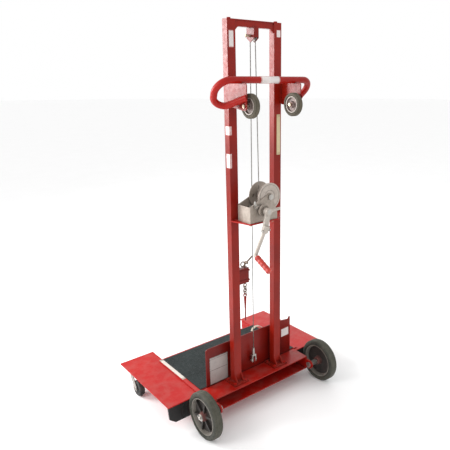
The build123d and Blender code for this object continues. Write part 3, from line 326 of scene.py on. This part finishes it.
def printed(name, color, ink, lines=(), border=0.0, flat="Y"):
    """Blank sticker: yellowed film, a worn border and, where given, a thin rule across it."""
    s = Shader(name)
    generated = s.add("TexCoord").outputs["Generated"]
    parts = s.add("SeparateXYZ", {0: generated})
    up = parts.outputs["Z"] if flat != "Z" else parts.outputs["Y"]
    side = parts.outputs["X"] if flat != "X" else parts.outputs["Y"]
    tone = s.mix(s.span(s.noise(28.0, 5.0), 0.38, 0.68, 0.0, 0.55), color, tuple(0.78 * c for c in color))
    mark = 0.0
    for height, half in lines:
        near = s.math("ABSOLUTE", s.math("SUBTRACT", up, height))
        mark = s.math("MAXIMUM", s.span(near, half * 1.5, half), mark)
    if border:
        for value in (up, side):
            near = s.math("SUBTRACT", 0.5, s.math("ABSOLUTE", s.math("SUBTRACT", value, 0.5)))
            mark = s.math("MAXIMUM", s.span(near, border, border * 0.6), mark)
    if lines or border:
        faded = s.math("MULTIPLY", mark, s.span(s.noise(120.0, 4.0), 0.35, 0.60, 0.45, 0.95))
        tone = s.mix(faded, tone, ink)
    scuff = s.span(s.noise(160.0, 5.0), 0.60, 0.70, 0.0, 0.5)
    tone = s.mix(scuff, tone, tuple(0.6 * c for c in color))
    rough = s.span(s.noise(50.0), 0.3, 0.7, 0.32, 0.55)
    wrinkle = s.bump(s.noise(1.0, 3.0, 0.5, s.scaled(45, 45, 70)), 0.0006, 0.35)
    return s.finish(tone, rough, s.bump(s.noise(900.0), 0.00004, 0.4, wrinkle), IOR=1.46)


def woven(name, color, deep):
    """Narrow woven tape: diagonal yarns with a soft sheen."""
    s = Shader(name)
    parts = s.add("SeparateXYZ", {0: s.place})
    slope = s.math("ADD", parts.outputs["X"], parts.outputs["Z"])
    warp = s.math("SINE", s.math("MULTIPLY", slope, 2 * math.pi / WARP_PITCH))
    weft = s.math("SINE", s.math("MULTIPLY", parts.outputs["Y"], 2 * math.pi / WEFT_PITCH))
    weave = s.span(s.math("MULTIPLY", warp, weft), -0.8, 0.8)
    tone = s.mix(weave, deep, color)
    tone = s.mix(s.span(s.noise(90.0, 4.0), 0.5, 0.7, 0.0, 0.5), tone, tuple(0.5 * c for c in deep))
    rough = s.span(weave, 0.0, 1.0, 0.92, 0.72)
    return s.finish(tone, rough, s.bump(weave, 0.0004, 0.8), Sheen_Weight=0.3)


def stranded(name):
    """Galvanised wire strands: each wire is drawn by a fine bump along the lay."""
    s = Shader(name)
    tone = s.mix(s.span(s.noise(260.0, 4.0), 0.35, 0.68), (0.30, 0.285, 0.265), (0.11, 0.10, 0.09))
    tone = s.mix(s.span(s.noise(30.0, 3.0), 0.50, 0.72, 0.0, 0.6), tone, (0.11, 0.085, 0.065))
    wires = s.noise(1.0, 2.0, 0.5, s.scaled(5200, 5200, 900))
    rough = s.span(s.noise(400.0), 0.3, 0.7, 0.34, 0.52)
    return s.finish(tone, rough, s.bump(wires, 0.00012, 0.7), Metallic=0.85)


def vinyl(name):
    """Dipped red grip: soft gloss, small moulding pits and darkened finger marks."""
    s = Shader(name)
    rounded, edge = s.edge(0.001)
    tone = s.mix(s.span(s.noise(24.0, 4.0), 0.36, 0.68), (0.56, 0.045, 0.024), (0.34, 0.018, 0.012))
    grease = s.span(s.noise(75.0, 5.0), 0.56, 0.72, 0.0, 0.65)
    tone = s.mix(grease, tone, (0.085, 0.014, 0.010))
    tone = s.mix(s.math("MULTIPLY", edge, 0.4), tone, (0.72, 0.16, 0.10))
    rough = s.span(s.noise(120.0), 0.3, 0.7, 0.30, 0.50)
    pits = s.bump(s.cells(420.0), 0.00010, 0.35, rounded)
    return s.finish(tone, rough, pits, Subsurface_Weight=0.08, Subsurface_Scale=0.004)


def plain_floor(name):
    """Pale studio ground with a faint unevenness."""
    s = Shader(name)
    tone = s.mix(s.span(s.noise(3.0, 4.0), 0.3, 0.7), (0.97, 0.97, 0.97), (0.955, 0.955, 0.955))
    return s.finish(tone, 0.8, s.bump(s.noise(60.0), 0.0002, 0.1))


RED = painted("red_enamel", (0.39, 0.009, 0.004), (0.26, 0.006, 0.003), wear=0.5, shade_amount=0.6, gloss=0.38)
# lit copy of the red enamel: painted light makes the deck and leg tops brighter
RED_LIT_DECK = painted(
    "red_enamel_lit_deck", (0.44, 0.008, 0.006), (0.36, 0.006, 0.005), wear=0.5, shade_amount=0.25, gloss=0.42
)
# shaded copy of the red enamel: painted shade makes the posts, beam and handle plates darker
RED_SHADED_MAST = painted(
    "red_enamel_shaded_mast", (0.28, 0.010, 0.003), (0.18, 0.007, 0.003), wear=0.4, shade_amount=0.6, gloss=0.34
)
# shaded copy of the red enamel: painted shade makes the carriage plate darker, with heavy painted corner
# shade
RED_SHADED_CARRIAGE = painted("red_enamel_shaded_carriage", (0.21, 0.007, 0.003), (0.08, 0.004, 0.003), wear=0.5, shade_amount=0.9)
# black enamel on the leg ends and caster plates, its darkness partly painted shade under the deck
BLACK_UNDER_DECK = painted("black_enamel_and_underdeck_shade", (0.026, 0.024, 0.024), (0.014, 0.013, 0.013), wear=0.5, shade_amount=0.6, gloss=0.42)
ZINC = plated("galvanised_sheet", (0.42, 0.36, 0.31), (0.25, 0.21, 0.17), 0.44, 0.35, 120.0, 0.15)
GUARD = pressed_disc("pressed_guard_zinc", "gear_guard", (0.50, 0.44, 0.39), (0.31, 0.26, 0.22))
BARE = plated("turned_steel", (0.52, 0.50, 0.47), (0.30, 0.28, 0.25), 0.32, 0.85, 400.0, 0.25)
DARK = plated("caster_plate_zinc", (0.42, 0.40, 0.37), (0.22, 0.20, 0.18), 0.40, 0.60, 300.0, 0.30)
BRASSY = plated("yellow_zinc", (0.52, 0.44, 0.33), (0.28, 0.22, 0.16), 0.38, 0.70, 300.0, 0.35)
RUSTY = plated("worn_forged_steel", (0.26, 0.20, 0.16), (0.13, 0.085, 0.065), 0.50, 0.55, 300.0, 0.6)
CRANK = plated("crank_zinc", (0.50, 0.45, 0.40), (0.32, 0.28, 0.24), 0.44, 0.35, 160.0, 0.15)
CASTER = rubber("caster_rubber", (0.020, 0.020, 0.020), (0.085, 0.080, 0.075))
ROPE = stranded("wire_rope")
MAT = studded_mat("anti_slip_mat")
GRIP = vinyl("red_vinyl")
LABEL_RULES = ((0.52, 0.007), (0.93, 0.005))
LABEL_BIG = printed("panel_sticker", (0.42, 0.38, 0.36), (0.07, 0.055, 0.05), LABEL_RULES, 0.028)
LABEL_WHITE = printed("white_sticker", (0.74, 0.68, 0.66), (0.50, 0.26, 0.24), (), 0.07)
LABEL_SIDE = printed("side_sticker", (0.80, 0.75, 0.73), (0.50, 0.26, 0.24), (), 0.07, "X")
LABEL_TALL = printed("beige_sticker", (0.60, 0.50, 0.30), (0.42, 0.33, 0.18), (), 0.08)
LABEL_STRIP = printed("strip_sticker", (0.66, 0.60, 0.54), (0.30, 0.26, 0.22), ((0.5, 0.003),), 0.08, "Z")
TAPE = woven("cream_tape", (0.66, 0.60, 0.48), (0.44, 0.38, 0.28))

# clean and dusty rubber, then rim ring, web and hub
ROAD_TYRE = ((0.020, 0.021, 0.016), (0.078, 0.075, 0.055))
SMALL_TYRE = ((0.052, 0.045, 0.032), (0.14, 0.12, 0.085))
ROAD_CENTRE = ((0.20, 0.18, 0.155), (0.030, 0.024, 0.021), (0.14, 0.045, 0.038))
SMALL_CENTRE = ((0.42, 0.37, 0.33), (0.26, 0.19, 0.17), (0.30, 0.10, 0.085))

# ---------------------------------------------------------------- finishes for the CAD nodes
FINISHES = {
    RED: "cross_channel front_tie winch_plate frame_bolts handle_tube",
    RED_LIT_DECK: "leg_left leg_right platform",
    RED_SHADED_MAST: "mast_post_left mast_post_right top_beam handle_plate_left handle_plate_right tie_strap",
    RED_SHADED_CARRIAGE: "carriage_plate sheave_bracket tie_block",
    BLACK_UNDER_DECK: "leg_ends caster_plates",
    ZINC: "winch_frame drum drum_gear ratchet_wheel",
    GUARD: "gear_guard",
    CRANK: "crank_arm crank_tube",
    BARE: "drum_shaft crank_shaft crank_bolt sheave pawl rope_clevis wheel_axles kingpins axle_hardware",
    BRASSY: "winch_bolts handle_wheel_bolts sheave_pin",
    RUSTY: "tie_chain",
    DARK: "caster_fork_left caster_fork_right",
    CASTER: "caster_wheel_left caster_wheel_right",
    MAT: "platform_mat",
    GRIP: "crank_grip",
}


def dress(node, material):
    """Give a CAD node's object its material."""
    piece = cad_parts[node]
    if not piece.material_slots:
        piece.data.materials.append(material)
    for holder in piece.material_slots:
        holder.material = material


for material, names in FINISHES.items():
    for name in names.split():
        dress(name, material)
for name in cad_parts:
    if name.startswith("guide_roller"):
        dress(name, BARE)
    if "tyre" in name:
        tones = SMALL_TYRE if name.startswith("handle") else ROAD_TYRE
        dress(name, rubber("rubber_" + name, *tones, name))
    if name.startswith("wheel_rim"):
        dress(name, wheel_centre("centre_" + name, name, *ROAD_CENTRE))
    if name.startswith("handle_rim"):
        dress(name, wheel_centre("centre_" + name, name, *SMALL_CENTRE))


# ---------------------------------------------------------------- mesh helpers
def make_piece(name, verts, faces, material, body, smooth=True):
    """A mesh object on a CAD body."""
    mesh = bpy.data.meshes.new(name)
    mesh.from_pydata([tuple(v) for v in verts], [], faces)
    mesh.materials.append(material)
    mesh.polygons.foreach_set("use_smooth", [smooth] * len(mesh.polygons))
    piece = bpy.data.objects.new(name, mesh)
    bpy.context.scene.collection.objects.link(piece)
    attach(piece, body)
    return piece


def frames_along(path):
    """A direction and two side directions at each point of a path, without twist."""
    frames = []
    last = None
    for index, point in enumerate(path):
        before = path[max(index - 1, 0)]
        after = path[min(index + 1, len(path) - 1)]
        run = (after - before).normalized()
        if last is None:
            last = run.orthogonal().normalized()
        last = (last - run * last.dot(run)).normalized()
        frames.append((run, last, run.cross(last)))
    return frames


def skin(rings, closed_ends=True):
    """Vertices and faces of a tube through rings of points."""
    count = len(rings[0])
    verts = [point for one in rings for point in one]
    faces = []
    for row in range(len(rings) - 1):
        for col in range(count):
            a = row * count + col
            b = row * count + (col + 1) % count
            faces.append((a, b, b + count, a + count))
    if closed_ends:
        faces.append(tuple(reversed(range(count))))
        faces.append(tuple(range(len(verts) - count, len(verts))))
    return verts, faces


def resample(path, step):
    """The same path with points about one step apart."""
    points = [path[0]]
    for start, end in zip(path, path[1:]):
        pieces = max(1, round((end - start).length / step))
        points += [start.lerp(end, (i + 1) / pieces) for i in range(pieces)]
    return points


STRANDS = 6
LAY = 0.024
STRAND_SHARE = 0.34


def laid_rope(name, path, radius, body):
    """Six strands laid round a core along a path; the outline stays inside the radius."""
    path = resample(path, LAY / 10)
    frames = frames_along(path)
    strand_r = radius * STRAND_SHARE
    centre_r = radius - strand_r
    verts, faces = [], []
    travelled = [0.0]
    for start, end in zip(path, path[1:]):
        travelled.append(travelled[-1] + (end - start).length)
    for strand in range(STRANDS + 1):
        rings = []
        for point, (run, side, up), gone in zip(path, frames, travelled):
            angle = 2 * math.pi * (strand / STRANDS + gone / LAY)
            out = side * math.cos(angle) + up * math.sin(angle)
            around = run.cross(out)
            core = strand == STRANDS
            centre = point if core else point + out * centre_r
            size = centre_r if core else strand_r
            turn = [2 * math.pi * k / 6 for k in range(6)]
            rings.append([centre + (out * math.cos(t) + around * math.sin(t)) * size for t in turn])
        more, new_faces = skin(rings)
        faces += [tuple(i + len(verts) for i in face) for face in new_faces]
        verts += more
    return make_piece(name, verts, faces, ROPE, body)


def weld(name, points, radius, body, material):
    """A fillet bead with a rippled crown, laid along a path."""
    path = resample(points, 0.0007)
    rings = []
    for index, (point, (run, side, up)) in enumerate(zip(path, frames_along(path))):
        ripple = 1.0 + 0.13 * math.sin(index * 1.15) + random.uniform(-0.05, 0.05)
        taper = min(1.0, 0.45 + 0.2 * index, 0.45 + 0.2 * (len(path) - 1 - index))
        size = radius * ripple * taper
        turn = [2 * math.pi * k / 8 for k in range(8)]
        rings.append([point + (side * math.cos(t) + up * math.sin(t)) * size for t in turn])
    verts, faces = skin(rings)
    return make_piece(name, verts, faces, material, body)


def sticker(name, body, origin, across, up, width, height, material, corner=0.0025, lean=0.0):
    """A thin film with round corners; across and up are its directions, origin its middle."""
    normal = across.cross(up).normalized()
    turn = Matrix.Rotation(lean, 3, normal)
    across, up = turn @ across, turn @ up
    outline = []
    for sx, sy, start in ((1, 1, 0), (-1, 1, 90), (-1, -1, 180), (1, -1, 270)):
        for step in range(5):
            angle = math.radians(start + 22.5 * step)
            x = sx * (width / 2 - corner) + corner * math.cos(angle)
            y = sy * (height / 2 - corner) + corner * math.sin(angle)
            outline.append((x, y))
    rings = []
    for inset, lift in ((0.0, -0.00005), (0.0, 0.00025), (0.0004, 0.00042)):
        ring = []
        for x, y in outline:
            shrink = 1 - 2 * inset / min(width, height)
            ring.append(origin + across * (x * shrink) + up * (y * shrink) + normal * lift)
        rings.append(ring)
    verts, faces = skin(rings)
    return make_piece(name, verts, faces, material, body, smooth=False)


def film(name, body, profile, low, high, material):
    """A film bent round a corner: a profile of (x, y) points between two heights."""
    outward = []
    for index in range(len(profile)):
        before = Vector(profile[max(index - 1, 0)])
        after = Vector(profile[min(index + 1, len(profile) - 1)])
        run = (after - before).normalized()
        outward.append(Vector((run.y, -run.x)))
    loop = [Vector(p) + n * 0.45 for p, n in zip(profile, outward)]
    loop += [Vector(p) - n * 0.02 for p, n in reversed(list(zip(profile, outward)))]
    rings = [[at(p.x, p.y, z) for p in loop] for z in (low, low + 1, high - 1, high)]
    verts, faces = skin(rings)
    return make_piece(name, verts, faces, material, body, smooth=False)


# ---------------------------------------------------------------- wire rope
sheave_low, sheave_high = edges("sheave")
sheave_mid = (sheave_low + sheave_high) / 2
front_low, front_high = edges("rope_front_fall")
front_mid = (front_low + front_high) / 2
rope_r = (front_high.x - front_low.x) / 2
over_r = front_mid.y - sheave_mid.y

front = laid_rope(
    "rope_front",
    [at(0, front_mid.y, front_low.z), at(0, front_mid.y, sheave_mid.z)],
    rope_r * MM,
    "frame",
)
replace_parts(front, "rope_front_fall")

wrap_low, wrap_high = edges("rope_wraps")
wrap_mid = (wrap_low + wrap_high) / 2
wrap_r = (wrap_high.x - wrap_low.x) / 2 - rope_r
rear_low = edges("rope_rear_fall")[0]
rear_path = [at(rear_low.x + rope_r, rear_low.y + rope_r, rear_low.z + rope_r * 0.4)]
for degrees in range(180, -1, -6):
    angle = math.radians(degrees)
    rear_path.append(at(0, sheave_mid.y + over_r * math.cos(angle), sheave_mid.z + over_r * math.sin(angle)))
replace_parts(laid_rope("rope_rear", rear_path, rope_r * MM, "frame"), "rope_rear_fall")

span = wrap_high.y - wrap_low.y - 2 * rope_r
turns = int(span / (2 * rope_r))
coil = []
for step in range(turns * 36 + 1):
    angle = 2 * math.pi * step / 36
    y = wrap_low.y + rope_r + span * step / (turns * 36)
    coil.append(at(wrap_mid.x + wrap_r * math.cos(angle), y, wrap_mid.z + wrap_r * math.sin(angle)))
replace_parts(laid_rope("rope_coil", coil, rope_r * MM, "drum"), "rope_wraps")

# ---------------------------------------------------------------- stickers
ACROSS = Vector((1, 0, 0))
UP = Vector((0, 0, 1))
FORWARD = Vector((0, 1, 0))


def rear_sticker(name, body, x0, x1, z0, z1, y, material, lean=0.0):
    """A sticker on a face that looks to the rear."""
    middle = at((x0 + x1) / 2, y, (z0 + z1) / 2)
    return sticker(name, body, middle, ACROSS, UP, (x1 - x0) * MM, (z1 - z0) * MM, material, lean=lean)


BACK_PLATE = 4.0
BACK_FACE = edges("platform")[0].y - BACK_PLATE
rear_sticker("panel_label", "carriage", -229, -132, 136, 268, BACK_FACE, LABEL_BIG)
rear_sticker("carriage_label", "carriage", 188, 236, 226, 267, BACK_FACE, LABEL_WHITE, math.radians(3))
rear_sticker("post_label_top", "frame", -127, -105, 1554, 1614, 0.0, LABEL_WHITE)
rear_sticker("post_label_mark", "frame", 109, 129, 1600, 1627, 0.0, LABEL_WHITE)
rear_sticker("post_label_tall", "frame", 110, 130, 1130, 1298, 0.0, LABEL_TALL)
film("post_label_wrap", "frame", [(-122, 0), (-134, 0), (-134, 24)], 1228, 1262, LABEL_SIDE)
film("post_label_side", "frame", [(-124, 0), (-134, 0), (-134, 22)], 1098, 1155, LABEL_SIDE)
rim_low, rim_high = edges("platform")
sticker(
    "platform_strip",
    "carriage",
    at(rim_low.x + 12, 285, rim_high.z),
    ACROSS,
    FORWARD,
    19 * MM,
    215 * MM,
    LABEL_STRIP,
)

# ---------------------------------------------------------------- sleeve, tape and weld beads
TUBE_R = 13.0
BAR_Z = 1436.0
BAR_Y = -80.0
SLEEVE_HALF = 47
SLEEVE_SHOULDER = 46.4
rings = []
SLEEVE_STEPS = ((-SLEEVE_HALF, 0.05), (-SLEEVE_SHOULDER, 0.8), (SLEEVE_SHOULDER, 0.8), (SLEEVE_HALF, 0.05))
for x, extra in SLEEVE_STEPS:
    turn = [2 * math.pi * k / 40 for k in range(40)]
    size = TUBE_R + extra
    rings.append([at(x, BAR_Y + size * math.cos(t), BAR_Z + size * math.sin(t)) for t in turn])
verts, faces = skin(rings, closed_ends=False)
make_piece("handle_sleeve", verts, faces, LABEL_WHITE, "frame")

TAPE_PATH = [(15, 312), (22, 324), (38, 330), (58, 326), (74, 316), (84, 302)]
TAPE_WIDTH = 0.012
TAPE_HALF_THICK = 0.0007
BACK_FRONT = 57.0
rings = []
points = resample([at(x, BACK_FRONT + 1.2, z) for x, z in TAPE_PATH], 0.004)
for point, (run, _, _) in zip(points, frames_along(points)):
    thick = run.cross(FORWARD).normalized() * TAPE_HALF_THICK
    wide = FORWARD * TAPE_WIDTH
    rings.append([point - thick, point + wide - thick, point + wide + thick, point + thick])
verts, faces = skin(rings)
make_piece("cream_tape", verts, faces, TAPE, "carriage")

POST_IN, POST_OUT, POST_DEPTH = 96.0, 134.0, 30.0
FOOT_TOP = 139.0
BEAD = 0.0024
BACK_BEAD = 0.0022
CHANNEL_HALF = 271.0
shelf_low, shelf_high = edges("winch_plate")
for side, word in ((-1, "left"), (1, "right")):
    inner, outer = side * POST_IN, side * POST_OUT
    flank = outer + side * 0.5
    from_x, to_x = inner + side * 2, outer - side * 2
    beads = {
        "foot": [(inner, -0.5, FOOT_TOP + 0.5), (outer, -0.5, FOOT_TOP + 0.5)],
        "foot_side": [(flank, 0, FOOT_TOP + 0.5), (flank, POST_DEPTH, FOOT_TOP + 0.5)],
        "shelf": [(from_x, -0.5, shelf_high.z + 0.5), (to_x, -0.5, shelf_high.z + 0.5)],
        "shelf_under": [(from_x, -0.5, shelf_low.z - 0.5), (to_x, -0.5, shelf_low.z - 0.5)],
        "plate": [(outer, -0.5, 1344), (outer, -0.5, 1420)],
        "beam": [(inner - side * 0.4, 3.6, 1614), (inner - side * 0.4, 3.6, 1648)],
    }
    for name, points in beads.items():
        weld(f"weld_{name}_{word}", [at(*p) for p in points], BEAD, "frame", RED_SHADED_MAST)
    corner = side * (CHANNEL_HALF + 0.5)
    weld(f"weld_leg_{word}", [at(corner, 41.5, 70), at(corner, 41.5, 120)], BEAD, "frame", RED)
for number in range(6):
    x0 = -228 + number * 86
    ends = [at(x, BACK_FRONT + 0.6, 131.4) for x in (x0, x0 + 34)]
    weld(f"weld_back_{number}", ends, BACK_BEAD, "carriage", RED_SHADED_CARRIAGE)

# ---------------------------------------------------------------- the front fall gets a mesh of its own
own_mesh(front)

# ---------------------------------------------------------------- floor, light and camera
FLOOR_RADIUS = 40.0
floor_mesh = bpy.data.meshes.new("floor")
shape = bmesh.new()
bmesh.ops.create_circle(shape, cap_ends=True, segments=96, radius=FLOOR_RADIUS)
shape.to_mesh(floor_mesh)
shape.free()
floor = bpy.data.objects.new("floor", floor_mesh)
floor_mesh.materials.append(plain_floor("pale_floor"))
bpy.context.scene.collection.objects.link(floor)
floor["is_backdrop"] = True

world = bpy.data.worlds.new("studio")
world.use_nodes = True
world.node_tree.nodes["Background"].inputs["Color"].default_value = (1.0, 1.0, 1.0, 1.0)
world.node_tree.nodes["Background"].inputs["Strength"].default_value = 1.0
bpy.context.scene.world = world
bpy.context.scene.view_settings.view_transform = "Standard"


def soft_light(name, place, target, size, power):
    """A square area light that looks at a target."""
    lamp = bpy.data.lights.new(name, "AREA")
    lamp.shape = "SQUARE"
    lamp.size = size
    lamp.energy = power
    holder = bpy.data.objects.new(name, lamp)
    holder.location = place
    holder.rotation_mode = "QUATERNION"
    holder.rotation_quaternion = (Vector(target) - Vector(place)).to_track_quat("-Z", "Y")
    bpy.context.scene.collection.objects.link(holder)


soft_light("key", (-3.3, 0.3, 2.7), (0, 0, 0.8), 1.6, 50)
soft_light("side", (-2.0, 2.5, 1.75), (0, 0, 1.55), 1.3, 110)
soft_light("fill", (2.6, 2.8, 2.2), (0, 0, 0.9), 2.0, 12)

# the photo's place and angle, from the fit of the machine's corners
CAMERA_PLACE = (-1309.4, -1621.4, 1435.8)
CAMERA_AZIMUTH = -40.7
CAMERA_PITCH = -15.5
camera_data = bpy.data.cameras.new("camera")
camera_data.sensor_width = 36.0
camera_data.lens = 40.75
camera_data.shift_x = -0.1047
camera_data.shift_y = -0.0084
camera = bpy.data.objects.new("camera", camera_data)
camera.location = at(*CAMERA_PLACE)
azimuth = math.radians(CAMERA_AZIMUTH)
pitch = math.radians(CAMERA_PITCH)
look = Vector((-math.sin(azimuth) * math.cos(pitch), math.cos(azimuth) * math.cos(pitch), math.sin(pitch)))
camera.rotation_mode = "QUATERNION"
camera.rotation_quaternion = look.to_track_quat("-Z", "Y")
bpy.context.scene.collection.objects.link(camera)
bpy.context.scene.camera = camera

size = {}
for word, box in (("cad", CAD_BOX), ("visual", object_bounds())):
    size[word] = [list(corner) for corner in box]
